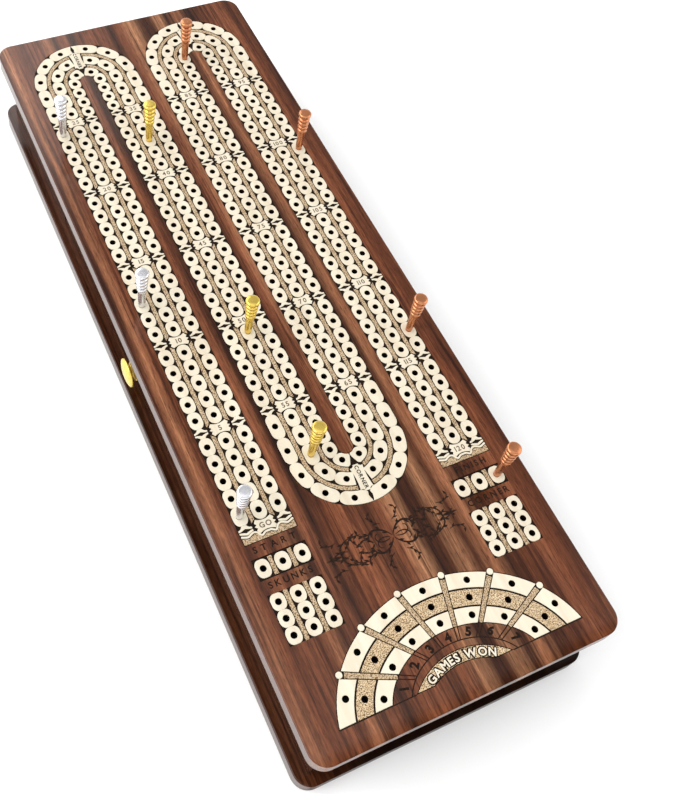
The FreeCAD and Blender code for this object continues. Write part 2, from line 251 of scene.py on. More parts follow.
# how the ripples, the narrow streaks, the veins and the pores each tint the wood: strength, and stops
GRAIN = (
    (0.8, ((0.34, (0.55, 0.51, 0.49)), (0.43, (0.97, 0.97, 0.97)), (0.57, PLAIN), (0.68, (1.3, 1.34, 1.4)))),
    (0.85, ((0.36, (0.4, 0.35, 0.32)), (0.44, (0.86, 0.84, 0.83)), (0.56, PLAIN), (0.66, (1.4, 1.5, 1.55)))),
    (0.8, ((0.33, (0.4, 0.36, 0.34)), (0.4, PLAIN), (0.6, PLAIN), (0.72, (1.3, 1.3, 1.3)))),
    (0.9, ((0.3, (0.36, 0.32, 0.3)), (0.47, (0.96, 0.96, 0.96)), (0.53, PLAIN), (0.7, (1.5, 1.55, 1.6)))),
)
# where painted shadow darkens the bottom board's foot end, and where a board's foot side begins and ends
FOOT_SHADE_Y = (-160.0, -168.0)
FOOT_SHADE_X = (-60.0, -36.0)
FOOT_SIDE_Y = (-173.0, -177.3)
PLAIN_GLOSS = 0.5
# the bored holes get painted shade below this depth, and only this near the board's middle
BORED_DEPTH = 0.25
BORED_REACH = (60.2, 175.4)
# the tiles' sides and holes get painted shade below this depth under their tops
TILE_DEPTH = 0.17
MAPLE_TONES = ((0.3, (0.62, 0.54, 0.41)), (0.5, (0.68, 0.61, 0.48)), (0.7, (0.71, 0.66, 0.53)))
WALLS = ("foot_wall", "head_wall", "right_wall", "left_wall_foot", "left_wall_head")


# -------- camera, light and floor

def add_object(name, data):
    """A new object in the scene."""
    thing = bpy.data.objects.new(name, data)
    bpy.context.scene.collection.objects.link(thing)
    return thing


def make_camera():
    data = bpy.data.cameras.new("camera")
    data.lens = CAMERA_LENS
    data.sensor_width = CAMERA_SENSOR
    data.sensor_fit = "AUTO"
    data.shift_x, data.shift_y = CAMERA_SHIFT
    data.clip_start, data.clip_end = CAMERA_CLIP
    camera = add_object("camera", data)
    place = Vector(CAMERA_PLACE) * MM
    toward = Vector(CAMERA_AIM) * MM - place
    turn = toward.to_track_quat("-Z", "Y").to_matrix() @ Matrix.Rotation(math.radians(-CAMERA_ROLL), 3, "Z")
    camera.matrix_world = Matrix.Translation(place) @ turn.to_4x4()
    bpy.context.scene.camera = camera


def make_area(name, place, size, power):
    """A soft lamp that faces the middle of the scene."""
    data = bpy.data.lights.new(name, "AREA")
    data.shape = "RECTANGLE"
    data.size, data.size_y = size
    data.energy = power
    lamp = add_object(name, data)
    lamp.location = place
    lamp.rotation_mode = "QUATERNION"
    lamp.rotation_quaternion = (-Vector(place)).to_track_quat("-Z", "Y")


def make_studio():
    """A white floor under a pale sky with a soft light straight overhead, and soft lamps all round."""
    mesh = bpy.data.meshes.new("floor")
    corners = [(x * FLOOR_HALF, y * FLOOR_HALF, 0) for x, y in ((-1, -1), (1, -1), (1, 1), (-1, 1))]
    mesh.from_pydata(corners, [], [(0, 1, 2, 3)])
    floor = add_object("floor", mesh)
    floor.location.z = -FLOOR_DROP
    white = {"Base Color": FLOOR_WHITE, "Roughness": 0.9, "Specular IOR Level": 0.0}
    mesh.materials.append(Finish("studio_floor", white).material)

    world = bpy.data.worlds.new("studio")
    bpy.context.scene.world = world
    world.use_nodes = True
    air = Nodes(world.node_tree)
    split = air.add("ShaderNodeSeparateXYZ")
    air.feed(air.add("ShaderNodeTexCoord").outputs["Generated"], split.inputs[0])
    sky = air.ramp(split.outputs["Z"], [(height, (grey, grey, grey)) for height, grey in SKY])
    air.feed(sky, world.node_tree.nodes["Background"].inputs["Color"])
    for name, (place, size, power) in LAMPS.items():
        make_area(name, place, size, power)
    bpy.context.scene.view_settings.view_transform = "Standard"


# -------- materials

class Nodes:
    """A node tree under construction. A value is a socket to link, or a plain number or colour."""

    def __init__(self, tree):
        self.tree = tree

    def add(self, kind, **values):
        """A node with its inputs set, and its properties where the name isn't an input's."""
        node = self.tree.nodes.new(kind)
        for key, value in values.items():
            if key in node.inputs:
                node.inputs[key].default_value = value
            else:
                setattr(node, key, value)
        return node

    def feed(self, value, socket):
        """Gives an input its value."""
        if hasattr(value, "is_output"):
            self.tree.links.new(value, socket)
        else:
            socket.default_value = value

    def math(self, operation, *values, clamp=False):
        node = self.add("ShaderNodeMath", operation=operation, use_clamp=clamp)
        for socket, value in zip(node.inputs, values):
            self.feed(value, socket)
        return node.outputs[0]

    def mix(self, factor, first, second, blend="MIX"):
        node = self.add("ShaderNodeMix", data_type="RGBA", blend_type=blend)
        colors = [value if hasattr(value, "is_output") else (*value, 1) for value in (first, second)]
        for index, value in zip((0, 6, 7), (factor, *colors)):
            self.feed(value, node.inputs[index])
        return node.outputs[2]

    def ramp(self, source, stops):
        """A colour ramp with stops given as (position, (r, g, b))."""
        node = self.add("ShaderNodeValToRGB")
        while len(node.color_ramp.elements) < len(stops):
            node.color_ramp.elements.new(0.5)
        for element, (position, color) in zip(node.color_ramp.elements, stops):
            element.position = position
            element.color = (*color, 1)
        self.feed(source, node.inputs["Fac"])
        return node.outputs["Color"]

    def coordinates(self, scale=(1, 1, 1), shift=(0, 0, 0)):
        """Object coordinates, which are the row frame's metres, scaled for a texture."""
        mapping = self.add("ShaderNodeMapping", Scale=scale, Location=shift)
        self.feed(self.add("ShaderNodeTexCoord").outputs["Object"], mapping.inputs["Vector"])
        return mapping.outputs["Vector"]

    def place(self):
        """Where a point is in the row frame's metres, as sockets X, Y and Z."""
        split = self.add("ShaderNodeSeparateXYZ")
        self.feed(self.coordinates(), split.inputs[0])
        return split.outputs

    def noise(self, stretch=(1, 1, 1), shift=(0, 0, 0), scale=1.0, detail=2.0, roughness=0.5, distortion=0.0):
        node = self.add("ShaderNodeTexNoise", Scale=scale, Detail=detail, Roughness=roughness,
                        Distortion=distortion)
        self.feed(self.coordinates(stretch, shift), node.inputs["Vector"])
        return node.outputs["Fac"]

    def share(self, value, start, stop):
        """How far a value in metres is from start to stop, in millimetres, as a share from 0 to 1."""
        from_start = self.math("SUBTRACT", value, start * MM)
        return self.math("MULTIPLY", from_start, 1.0 / ((stop - start) * MM), clamp=True)

    def charred(self, color, height, reach=()):
        """The colour, with painted shade below a height, where holes and joints lie, and with a reach only
        that near the middle in x and y.
        """
        place = self.place()
        low = self.math("LESS_THAN", place["Z"], height * MM)
        for axis, limit in zip("XY", reach):
            near = self.math("LESS_THAN", self.math("ABSOLUTE", place[axis]), limit * MM)
            low = self.math("MULTIPLY", low, near)
        return self.mix(low, color, PAINTED_SHADE_TONE)


class Finish(Nodes):
    """A principled material under construction."""

    def __init__(self, name, inputs):
        self.material = bpy.data.materials.new(name)
        self.material.use_nodes = True
        super().__init__(self.material.node_tree)
        self.shader = self.tree.nodes["Principled BSDF"]
        for key, value in inputs.items():
            self.shader.inputs[key].default_value = value

    def made_of(self, color, height, strength, distance):
        """The finished material, with its colour and a bump."""
        self.feed(color, self.shader.inputs["Base Color"])
        node = self.add("ShaderNodeBump", Strength=strength, Distance=distance)
        self.feed(height, node.inputs["Height"])
        self.feed(node.outputs["Normal"], self.shader.inputs["Normal"])
        return self.material


def brown_tones(depth, contrast=1.0):
    """The rosewood's tones, darkened by depth and drawn towards the middle one."""
    middle = ROSEWOOD_TONES["middle"]
    return {name: [depth * (base + contrast * (channel - base)) for channel, base in zip(tone, middle)]
            for name, tone in ROSEWOOD_TONES.items()}


def rosewood(name, tones, seed=0.0, foot_gloss=0.055, foot_shade=0.0, bored=False):
    """Lacquered rosewood: broad brown streaks along y that wander and fade, under finer ones and pores."""
    wood = Finish(name, {"Roughness": 0.15, "IOR": 1.38})
    place = wood.place()
    wander = wood.noise((14, 7, 14), (seed, seed, seed))
    ripple = wood.noise((240, 16, 240), (seed, 0, 0), detail=3.0)
    across = wood.math("MULTIPLY_ADD", wood.math("SUBTRACT", wander, 0.5), STREAK_WANDER, place["X"])
    across = wood.math("MULTIPLY_ADD", wood.math("SUBTRACT", ripple, 0.5), STREAK_RIPPLE, across)
    from_left = wood.math("ADD", across, STREAK_HALF_WIDTH * MM)
    from_left = wood.math("MULTIPLY", from_left, 0.5 / (STREAK_HALF_WIDTH * MM))
    color = wood.ramp(from_left, [(0.5 + x / (2.0 * STREAK_HALF_WIDTH), tones[tone]) for x, tone in STREAKS])
    fade = wood.noise((60, 9, 60), (0, seed, 0))
    color = wood.mix(wood.math("MULTIPLY_ADD", fade, *STREAK_FADE, clamp=True), tones["middle"], color)
    narrow = wood.noise((430, 7, 430), (0, seed, seed), roughness=0.6)
    veins = wood.noise((760, 14, 760), (seed, seed, 0))
    fibres = wood.noise((1900, 190, 1900), (seed, 0, seed), detail=4.0, roughness=0.7)
    for field, (strength, stops) in zip((ripple, narrow, veins, fibres), GRAIN):
        color = wood.mix(strength, color, wood.ramp(field, stops), "MULTIPLY")
    # painted shadow: the foot end darkens towards the shade tone, all but near its left corner, as if under
    # the top board's shadow
    if foot_shade:
        along = wood.share(place["Y"], *FOOT_SHADE_Y)
        corner = wood.math("MULTIPLY", along, wood.share(place["X"], *FOOT_SHADE_X))
        color = wood.mix(wood.math("MULTIPLY", corner, foot_shade), color, PAINTED_SHADE_TONE)
    # painted shade inside the bored holes
    if bored:
        color = wood.charred(color, TOP - BORED_DEPTH, BORED_REACH)
    # painted shade through the gloss: a board's foot side reflects less, as if the floor in front of it lay
    # in shade
    foot_side = wood.share(place["Y"], *FOOT_SIDE_Y)
    gloss = wood.math("MULTIPLY_ADD", foot_side, foot_gloss - PLAIN_GLOSS, PLAIN_GLOSS)
    wood.feed(gloss, wood.shader.inputs["Specular IOR Level"])
    return wood.made_of(color, fibres, 0.10, 0.0002)


def maple(name, depth=1.0):
    """Pale lacquered maple with a faint grain, darkened by depth, and with painted shade on its sides and
    inside its holes.
    """
    wood = Finish(name, {"Roughness": 0.35, "IOR": 1.33})
    grain = wood.noise((260, 30, 260), detail=4.0, roughness=0.6)
    color = wood.ramp(grain, [(stop, [depth * channel for channel in tone]) for stop, tone in MAPLE_TONES])
    return wood.made_of(wood.charred(color, TILE_TOP - TILE_DEPTH), grain, 0.05, 0.0001)


def stipple(name, pale, deep, crowding):
    """Maple stippled with a fine hot point: a crowd of small brown dots."""
    wood = Finish(name, {"Roughness": 0.5, "IOR": 1.33})
    specks = wood.noise(scale=crowding, roughness=0.7)
    dots = wood.ramp(specks, ((0.42, deep), (0.54, pale)))
    patches = wood.ramp(wood.noise(scale=420.0), ((0.3, (0.86, 0.80, 0.70)), (0.7, (1.0, 1.0, 1.0))))
    color = wood.mix(1.0, dots, patches, "MULTIPLY")
    # painted shade on the tiles' sides and inside their holes
    return wood.made_of(wood.charred(color, STRIP_TOP - TILE_DEPTH), specks, 0.35, 0.0001)


def burnt(name, dark, light):
    """Wood scorched by a hot point."""
    wood = Finish(name, {"Roughness": 0.7, "Specular IOR Level": 0.1})
    char = wood.noise(scale=1500.0, detail=3.0)
    return wood.made_of(wood.ramp(char, ((0.3, dark), (0.7, light))), char, 0.3, 0.0001)


def metal(name, tint, metallic=0.85):
    """Turned satin metal with faint turning marks and a slight change of polish."""
    surface = Finish(name, {"Metallic": metallic})
    marks = surface.noise((150, 150, 5000))
    smear = surface.noise(scale=260.0)
    polish = surface.math("MULTIPLY_ADD", smear, 0.14, 0.17)
    surface.feed(polish, surface.shader.inputs["Roughness"])
    darker = [0.88 * channel for channel in tint]
    return surface.made_of(surface.ramp(smear, ((0.3, darker), (0.7, tint))), marks, 0.05, 0.00005)


def plain_wood(name, dark, light):
    """Satin drawer wood with a straight grain along x."""
    wood = Finish(name, {"Roughness": 0.55, "Coat Weight": 0.15, "Coat Roughness": 0.3})
    grain = wood.noise((6, 210, 210), detail=5.0, roughness=0.6, distortion=0.4)
    return wood.made_of(wood.ramp(grain, ((0.3, dark), (0.7, light))), grain, 0.12, 0.0002)


# -------- flat outlines

def column_x(column):
    return (column - 1.5) * COLUMN


def row_y(row):
    return FIRST_ROW_Y + row * PITCH + (row // GROUP_SIZE) * (GROUP_STEP - PITCH)


def plaque_y(group):
    return row_y(group * GROUP_SIZE) - GROUP_STEP / 2.0


def circle(centre, radius, count=SEGMENTS):
    angles = [2 * math.pi * index / count for index in range(count)]
    return [(centre[0] + radius * math.cos(a), centre[1] + radius * math.sin(a)) for a in angles]


def mirrored(half):
    """Closes an outline given as its right half, from top to bottom, by mirroring it about x = 0."""
    return half + [(-x, y) for x, y in reversed(half) if x > TINY]


def placed(outline, centre, turn=0.0):
    cos, sin = math.cos(turn), math.sin(turn)
    return [(centre[0] + x * cos - y * sin, centre[1] + x * sin + y * cos) for x, y in outline]


def runs_left(outline):
    """Whether an outline runs anticlockwise."""
    return sum(a[0] * b[1] - b[0] * a[1] for a, b in zip(outline, outline[1:] + outline[:1])) > 0


def inset(outline, amount):
    """The outline moved inwards by amount, corner by corner."""
    side = 1.0 if runs_left(outline) else -1.0
    moved = []
    for index, point in enumerate(outline):
        here = Vector(point)
        before = (here - Vector(outline[index - 1])).normalized()
        after = (Vector(outline[(index + 1) % len(outline)]) - here).normalized()
        normal = Vector((-(before.y + after.y), before.x + after.x)) * side
        if normal.length < TINY:
            normal = Vector((-before.y, before.x)) * side
        normal.normalize()
        slant = max(SHARPEST, abs(normal.dot(Vector((-before.y, before.x)))))
        moved.append(tuple(here + normal * (amount / slant)))
    return moved


def dense(outline, longest=BEND_STEP):
    """The same outline with its long sides divided, so that it can follow a bend."""
    points = []
    for index, point in enumerate(outline):
        a, b = Vector(point), Vector(outline[(index + 1) % len(outline)])
        parts = max(1, math.ceil((b - a).length / longest))
        points += [tuple(a.lerp(b, part / parts)) for part in range(parts)]
    return points


def smooth(points, parts=4):
    """A smooth line through the points."""
    line = []
    for index in range(len(points) - 1):
        a, b, c, d = (Vector(points[min(max(index + step, 0), len(points) - 1)]) for step in (-1, 0, 1, 2))
        for part in range(parts):
            t = part / parts
            bend = (2 * a - 5 * b + 4 * c - d) * t * t + (3 * b - 3 * c + d - a) * t ** 3
            line.append(tuple(b + ((c - a) * t + bend) / 2.0))
    line.append(tuple(points[-1]))
    return line


# -------- mesh building

def loop(bm, outline, z):
    """The outline's points at a height, as vertices."""
    return [bm.verts.new((x * MM, y * MM, z * MM)) for x, y in outline]


def wall(bm, lower, upper):
    """Faces between two closed loops of vertices."""
    for index in range(len(lower)):
        after = (index + 1) % len(lower)
        bm.faces.new((lower[index], lower[after], upper[after], upper[index]))


def make_piece(name, bm, material, body):
    """A piece that rides a body, made of a finished bmesh."""
    mesh = bpy.data.meshes.new(name)
    bm.to_mesh(mesh)
    bm.free()
    mesh.materials.append(material)
    piece = add_object(name, mesh)
    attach(piece, body)
    return piece


class Sheet:
    """Collects flat tiles into one mesh. Where they may cross, each lies one step over the last."""

    def __init__(self, step=0.0):
        self.bm = bmesh.new()
        self.step = step
        self.pieces = 0

    def lift(self):
        """How far the next piece lies over the first ones, so that crossing pieces never share a face."""
        self.pieces += 1
        return self.step * (self.pieces % STROKE_LIFTS)

    def tile(self, outline, z0=INLAY_TOP, z1=TILE_TOP, ease=EDGE_EASE, hole=None):
        """A flat tile with an eased upper edge and, where hole is given, a round hole at that point."""
        if hole is not None:
            outline = dense(outline, HOLED_STEP)
        if not runs_left(outline):
            outline = outline[::-1]
        z1 += self.lift()
        foot = loop(self.bm, outline, z0)
        shoulder = loop(self.bm, outline, z1 - ease)
        rim = loop(self.bm, inset(outline, ease), z1)
        wall(self.bm, foot, shoulder)
        wall(self.bm, shoulder, rim)
        if hole is None:
            self.bm.faces.new(rim)
            self.bm.faces.new(foot[::-1])
            return
        bearings = [math.atan2(y - hole[1], x - hole[0]) for x, y in outline]
        rings = [rim]
        for radius, z in ((HOLE_RADIUS + HOLE_EASE, z1), (HOLE_RADIUS, z1 - HOLE_EASE), (HOLE_RADIUS, z0)):
            ring = [(hole[0] + radius * math.cos(a), hole[1] + radius * math.sin(a)) for a in bearings]
            rings.append(loop(self.bm, ring, z))
        for outer, inner in zip(rings, rings[1:] + [foot]):
            wall(self.bm, outer, inner)

    def ribbon(self, points, widths, z0, z1):
        """A flat band along a line of points; widths is one full width, or one for each point."""
        if not hasattr(widths, "__len__"):
            widths = [widths] * len(points)
        z1 += self.lift()
        rows = []
        for index, (point, width) in enumerate(zip(points, widths)):
            a = Vector(points[max(0, index - 1)])
            b = Vector(points[min(len(points) - 1, index + 1)])
            along = (b - a).normalized()
            across = Vector((-along.y, along.x)) * (width / 2.0)
            sides = [tuple(Vector(point) + across), tuple(Vector(point) - across)]
            rows.append(loop(self.bm, sides, z0) + loop(self.bm, sides, z1))
        for one, two in zip(rows, rows[1:]):
            for a, b in ((3, 2), (0, 1), (2, 0), (1, 3)):
                self.bm.faces.new((one[a], two[a], two[b], one[b]))
        for end in (rows[0], rows[-1]):
            self.bm.faces.new((end[0], end[1], end[3], end[2]))

    def finish(self, name, material, slot_name):
        bmesh.ops.recalc_face_normals(self.bm, faces=self.bm.faces)
        make_piece(name, self.bm, material, "board")


def turned(name, profile, place, material, body, node, outward=False):
    """A turned piece that stands for a CAD node: profile is (radius, height) from the foot up."""
    bm = bmesh.new()
    rings = [loop(bm, circle((0.0, 0.0), radius), height) for radius, height in profile]
    for lower, upper in zip(rings, rings[1:]):
        wall(bm, lower, upper)
    bm.faces.new(rings[0][::-1])
    bm.faces.new(rings[-1])
    if outward:
        bm.transform(Matrix.Rotation(math.radians(-90), 4, "Y"))
    bm.transform(Matrix.Translation(Vector(place) * MM))
    piece = make_piece(name, bm, material, body)
    piece.data.shade_smooth()
    piece.data.set_sharp_from_angle(angle=math.radians(SHARP_ANGLE))
    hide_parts(node)


# -------- lanes of the track

def bead_end(reach, style):
    """One end of a bead, from its left to its right: style is neck, round, or points at an apex."""
    if not isinstance(style, str):
        return [(reach - gap, share * BEAD_HALF_WIDTH) for gap, share in style]
    neck = BEAD_NECK if style == "neck" else 0.0
    depth = min(BEAD_DEPTH, reach * BEAD_DEPTH_SHARE)
    left = []
    for step in range(BEAD_STEPS + 1):
        angle = math.pi / 2.0 * step / BEAD_STEPS
        along = reach - depth + depth * math.sin(angle)
        left.append((along, neck + (BEAD_HALF_WIDTH - neck) * max(0.0, math.cos(angle))))
    right = [(x, -y) for x, y in reversed(left if style == "neck" else left[:-1])]
    return left + right


def bead(before, after, start="neck", end="neck"):
    """A bead's outline about its hole, lying along x."""
    return bead_end(after, end) + [(-x, -y) for x, y in bead_end(before, start)]


class Lane:
    """One lane of a U-turn, measured along from the plaque row to the apex."""

    def __init__(self, x_centre, y_centre, y_start, radius, side):
        self.x_centre, self.y_centre, self.y_start, self.side = x_centre, y_centre, y_start, side
        self.radius = radius
        self.straight = abs(y_centre - y_start)
        self.heading = math.copysign(1.0, y_centre - y_start)
        self.length = self.straight + math.pi / 2.0 * radius

    def at(self, along, across=0.0):
        """The point that far along, and that far out from the lane's middle."""
        reach = self.radius + across
        if along < self.straight:
            return (self.x_centre + self.side * reach, self.y_start + self.heading * along)
        angle = (along - self.straight) / self.radius
        return (self.x_centre + self.side * reach * math.cos(angle),
                self.y_centre + self.heading * reach * math.sin(angle))

    def bent(self, outline, along):
        """An outline that lies along x, bent to lie in the lane that far along."""
        return [self.at(along + x, y) for x, y in outline]


TURNS = (
    (column_x(0.5), TOP_TURN_Y, plaque_y(GROUPS)),
    (column_x(1.5), BOTTOM_TURN_Y, plaque_y(1)),
    (column_x(2.5), TOP_TURN_Y, plaque_y(GROUPS)),
)


def first_group(column):
    """The lowest group of rows in a column: the inner columns start one group further up."""
    return 0 if column in OUTER_COLUMNS else 1


def straight_beads(beads):
    """The beads of the four straight columns; those of the middle lane have full ends beside a plaque."""
    reach = PITCH / 2.0
    for column in COLUMNS:
        for lane in LANES:
            for row in range(first_group(column) * GROUP_SIZE, ROWS):
                centre = (column_x(column) + lane * LANE, row_y(row))
                start = "round" if lane == 0 and row % GROUP_SIZE == 0 else "neck"
                end = "round" if lane == 0 and row % GROUP_SIZE == GROUP_SIZE - 1 else "neck"
                outline = bead(reach, reach, start, end)
                beads.tile(placed(outline, centre, math.pi / 2.0), hole=centre)


def turn_beads(beads):
    """The long beads that lead round the three U-turns."""
    for turn in TURNS:
        for ring, (gap_before, gap_after) in enumerate(TURN_GAPS):
            for side in SIDES:
                lane = Lane(*turn, COLUMN / 2.0 + (ring - 1) * LANE, side)
                step = (lane.length - gap_before - gap_after) / TURN_HOLES
                for index in range(TURN_HOLES):
                    along = gap_before + (index + 0.5) * step
                    before = after = step / 2.0
                    start = end = "neck"
                    if index == 0:
                        before = along - PLAQUE_GAP
                        start = "round" if ring == 1 else "neck"
                    if index == TURN_HOLES - 1:
                        after = lane.length - along
                        end = APEX_ENDS[ring]
                    beads.tile(lane.bent(dense(bead(before, after, start, end)), along), hole=lane.at(along))


def plaque_outline():
    """The number plaque: hollow at top and bottom, and three points on each side."""
    hollow = [(3.1 * share, 2.06 + 0.85 * share ** 2) for share in (0.0, 0.25, 0.5, 0.75, 1.0)]
    upper = hollow + [(4.1, 1.5), (3.45, 0.7), (4.47, 0.0)]
    return mirrored(upper + [(x, -y) for x, y in reversed(upper[:-1])])


def star_half():
    """The white half plate above a black four-pointed star."""
    neck = ((0.0, PLAQUE_GAP), (1.0, PLAQUE_GAP), (1.2, 1.7), (1.8, 1.15), (2.7, 0.85))
    return mirrored([*neck, *STAR_EDGE])


def foot_plate():
    """The white half plate below the star at the foot of the track, cut to the wavy band's shape."""
    return mirrored([(x, -y) for x, y in reversed(STAR_EDGE)] + [(2.72, -0.85), (1.4, -1.3), (0.0, -1.8)])


def plaque_rows():
    """Column, group and middle of every plaque row."""
    for column in COLUMNS:
        for group in range(first_group(column), GROUPS + 1):
            yield column, group, (column_x(column), plaque_y(group))


def wave(centre):
    """The line of the wavy band at the foot of an outer column, from left to right."""
    half = [(0.0, -2.75), (1.3, -2.85), (2.6, -3.6), (3.3, -3.3), (4.0, -2.2), (5.3, -1.55), (6.6, -1.9),
            (7.83, -2.5), (8.9, -2.3), (10.5, -1.7)]
    line = [(-x, y) for x, y in reversed(half[1:])] + half
    return placed(smooth(line), centre)


def plaques(white):
    """Plaques, the plates of the black stars, and the wavy bands at the foot."""
    for column, group, centre in plaque_rows():
        white.tile(placed(inset(plaque_outline(), PLAQUE_INSET), centre))
        at_foot = column in OUTER_COLUMNS and group == 0
        for side in SIDES:
            middle = (centre[0] + side * LANE, centre[1])
            white.tile(placed(star_half(), middle))
            white.tile(placed(foot_plate(), middle) if at_foot else placed(star_half(), middle, math.pi))
        if at_foot:
            white.ribbon(wave(centre), WAVE_WIDTH, INLAY_TOP, TILE_TOP)


def strips(stippled):
    """The stippled strips between the lanes, and the stippled field at the foot of the outer columns."""
    by_middle, by_edge = STRIP_SLANT
    for column in COLUMNS:
        for side in SIDES:
            middle = column_x(column) + side * STRIP_OFFSET
            inner, outer = middle - side * STRIP_HALF_WIDTH, middle + side * STRIP_HALF_WIDTH
            for group in range(first_group(column), GROUPS):
                low, high = plaque_y(group), plaque_y(group + 1)
                stippled.tile([(inner, low + by_middle), (outer, low + by_edge),
                               (outer, high - by_edge), (inner, high - by_middle)], z1=STRIP_TOP)
    for turn in TURNS:
        for side in SIDES:
            for offset in (-STRIP_OFFSET, STRIP_OFFSET):
                lane = Lane(*turn, COLUMN / 2.0 + offset, side)
                stop = lane.length - TURN_STRIP_GAP
                near = [by_edge if offset * across > 0 else by_middle for across in SIDES]
                outline = dense([(near[0], -STRIP_HALF_WIDTH), (stop, -STRIP_HALF_WIDTH),
                                 (stop, STRIP_HALF_WIDTH), (near[1], STRIP_HALF_WIDTH)])
                stippled.tile(lane.bent(outline, 0.0), z1=STRIP_TOP)
    for column in OUTER_COLUMNS:
        centre = (column_x(column), plaque_y(0))
        line = [(x, y - WAVE_WIDTH / 2.0 - LINE) for x, y in wave(centre)]
        foot = TRACK_FOOT_Y + LINE
        stippled.tile(line + [(line[-1][0], foot), (line[0][0], foot)], z1=STRIP_TOP, ease=FIELD_EASE)


def apex_outline():
    """The ticket at the head of a turn: a waisted bar with bitten corners, lying along y."""
    upper = [(1.25, APEX_HALF_LENGTH), (1.4, 5.25), (2.0, 4.85), (3.1, 4.9), (2.85, 4.0), (2.6, 2.0)]
    return mirrored(upper + [(APEX_WAIST, 0.0)] + [(x, -y) for x, y in reversed(upper)])


def apex_centre(turn):
    x_centre, y_centre, y_start = turn
    return (x_centre, y_centre + math.copysign(COLUMN / 2.0 + APEX_RISE, y_centre - y_start))


def apex_tickets(white):
    """The white ticket at the head of each turn."""
    for turn in TURNS:
        white.tile(placed(inset(apex_outline(), APEX_INSET), apex_centre(turn)))


# -------- start, skunks, finish and corner blocks

def block_tiles(beads, stippled):
    """The rows of beads and the strips of the two blocks at the foot of each outer column."""
    for column in OUTER_COLUMNS:
        for y_middle, rows, reach in ((START_Y, 1, START_REACH), (CORNER_Y, 3, CORNER_PITCH / 2.0)):
            first = y_middle - CORNER_PITCH * (rows - 1) / 2.0
            for lane in LANES:
                for row in range(rows):
                    centre = (column_x(column) + lane * LANE, first + row * CORNER_PITCH)
                    beads.tile(placed(bead(reach, reach), centre, math.pi / 2.0), hole=centre)
            half = CORNER_PITCH * (rows - 1) / 2.0 + reach + BLOCK_EASE
            for side in SIDES:
                middle = column_x(column) + side * STRIP_OFFSET
                x0, x1 = middle - STRIP_HALF_WIDTH, middle + STRIP_HALF_WIDTH
                stippled.tile([(x0, y_middle - half), (x1, y_middle - half),
                               (x1, y_middle + half), (x0, y_middle + half)], z1=STRIP_TOP)


# -------- games-won fan

def fan_point(ring, degrees):
    """A point on the fan's ring line; ring 0 is the inner edge and FAN_RINGS the outer one."""
    angle = math.radians(degrees)
    return ((FAN_INNER[0] + ring * FAN_RING_STEP[0]) * math.sin(angle),
            FAN_CENTRE_Y + (FAN_INNER[1] + ring * FAN_RING_STEP[1]) * math.cos(angle))


def last_before(low, high, is_before):
    """How far is_before still holds between low and high, found by halving."""
    for _ in range(HALVINGS):
        middle = (low + high) / 2.0
        low, high = (middle, high) if is_before(middle) else (low, middle)
    return low


class Spoke:
    """A divider of the fan, from the focus under the banner out to its stud."""

    def __init__(self, degrees):
        self.degrees = degrees
        self.foot = Vector((0.0, FAN_SPOKE_FOCUS_Y))
        self.head = Vector(fan_point(FAN_RINGS, degrees))
        self.along = (self.head - self.foot).normalized()
        self.right = Vector((self.along.y, -self.along.x))

    def half_width(self, point):
        """Wider towards the stud."""
        share = (Vector(point) - self.foot).dot(self.along) / (self.head - self.foot).length
        return SPOKE_HALF_WIDTHS[0] + (SPOKE_HALF_WIDTHS[1] - SPOKE_HALF_WIDTHS[0]) * share

    def offset(self, point):
        """How far a point is to the right of the spoke's middle."""
        return (Vector(point) - self.foot).dot(self.right)

    def ring_angle(self, ring, side):
        """Where the ring line meets the spoke's edge on that side, with a dark line left between."""
        def is_before(degrees):
            point = fan_point(ring, degrees)
            return self.offset(point) < side * (self.half_width(point) + LINE)

        return last_before(self.degrees - SPOKE_SEARCH, self.degrees + SPOKE_SEARCH, is_before)


def floor_angle(ring, side):
    """Where a ring line meets the fan's flat foot."""
    height = FAN_FLOOR_Y + LINE - FAN_CENTRE_Y
    return side * math.degrees(math.acos(height / (FAN_INNER[1] + ring * FAN_RING_STEP[1])))


def arc_of_ring(ring, start, stop, parts=10):
    return [fan_point(ring, start + (stop - start) * part / parts) for part in range(parts + 1)]


def fan_tiles(white, stippled):
    """Three rings of seven tiles, the middle ring stippled, with a hole in each."""
    spokes = [Spoke(angle) for angle in FAN_STUD_ANGLES]
    share = LINE / FAN_RING_STEP[1]
    for sector, hole_angle in enumerate(FAN_HOLE_ANGLES):
        for ring in range(FAN_RINGS):
            inner, outer = ring + share, ring + 1 - share
            ends = []
            for line in (inner, outer):
                left = spokes[sector - 1].ring_angle(line, 1) if sector else floor_angle(line, -1)
                right = spokes[sector].ring_angle(line, -1) if sector < len(spokes) else floor_angle(line, 1)
                ends.append((left, right))
            outline = arc_of_ring(outer, *ends[1]) + arc_of_ring(inner, ends[0][1], ends[0][0])
            sheet, top = (stippled, STRIP_TOP) if ring == 1 else (white, TILE_TOP)
            sheet.tile(outline, z1=top, hole=fan_point(ring + 0.5, hole_angle))


